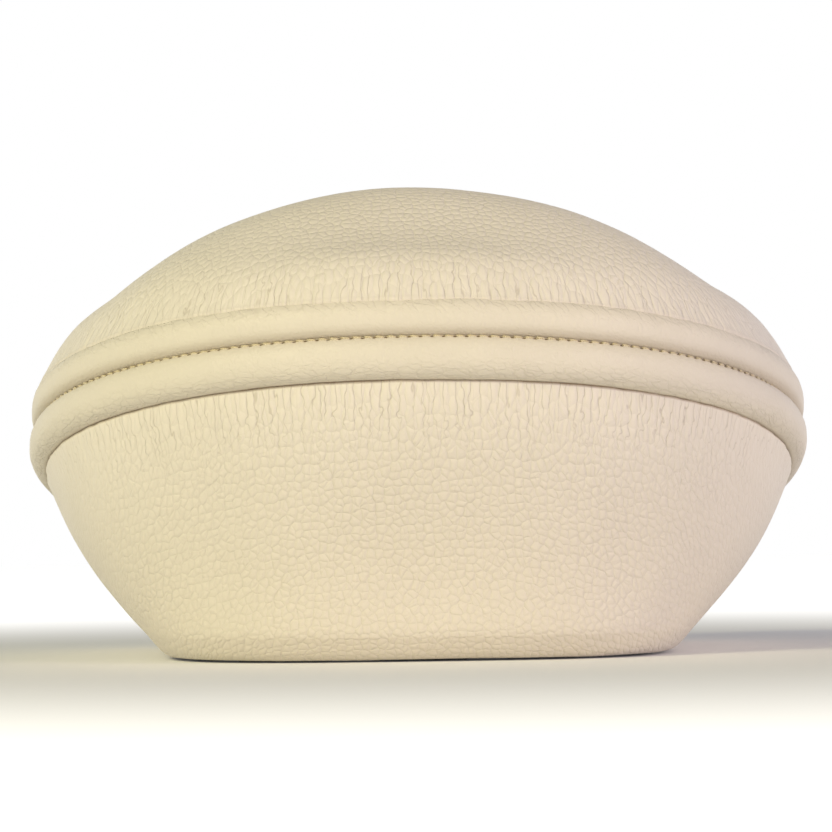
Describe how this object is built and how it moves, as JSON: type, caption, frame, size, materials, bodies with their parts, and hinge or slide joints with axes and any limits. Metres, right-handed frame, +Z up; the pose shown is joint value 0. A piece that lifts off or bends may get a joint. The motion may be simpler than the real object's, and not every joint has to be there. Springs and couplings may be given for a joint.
{
  "type": "face cradle cushion",
  "caption": "Horseshoe face cradle cushion for a massage table: a leather-covered wedge with a crowned top, a tapered side panel and a double rolled seam.",
  "frame": {"origin": "middle of the footprint, on the surface that the cushion stands on", "axes": "+Z up; the closed crown end faces -Y and the face opening runs in from +Y; X is the mirror axis"},
  "size_m": [0.2898, 0.2748, 0.1627],
  "materials": {
    "top_leather": "full-grain pebbled cream leather, satin",
    "side_leather": "full-grain pebbled cream leather, satin",
    "roll_leather": "cream leather stretched smooth over a cord, satin",
    "roll_cord": "closed-cell foam cord, off-white",
    "seam_thread": "bonded polyester thread, cream",
    "seam_tape": "woven cotton twill tape, natural",
    "comfort_foam": "soft open-cell foam, pale yellow",
    "support_foam": "firm open-cell foam, grey",
    "base_board": "birch plywood, bare",
    "base_cover": "brushed loop-pile fabric, black",
    "staple": "galvanised flat wire"
  },
  "bodies": {
    "root": {"top_cover": "top_leather", "side_panel": "side_leather", "upper_roll": "roll_leather", "lower_roll": "roll_leather", "upper_roll_cord": "roll_cord", "lower_roll_cord": "roll_cord", "seam_thread": "seam_thread", "seam_tape": "seam_tape", "comfort_foam": "comfort_foam", "support_foam": "support_foam", "base_board": "base_board", "loop_base_cover": "base_cover", "staple_01": "staple", "staple_02": "staple", "staple_03": "staple", "staple_04": "staple", "staple_05": "staple", "staple_06": "staple", "staple_07": "staple", "staple_08": "staple", "staple_09": "staple", "staple_10": "staple", "staple_11": "staple", "staple_12": "staple", "staple_13": "staple", "staple_14": "staple", "staple_15": "staple", "staple_16": "staple", "staple_17": "staple", "staple_18": "staple"}
  },
  "joints": []
}
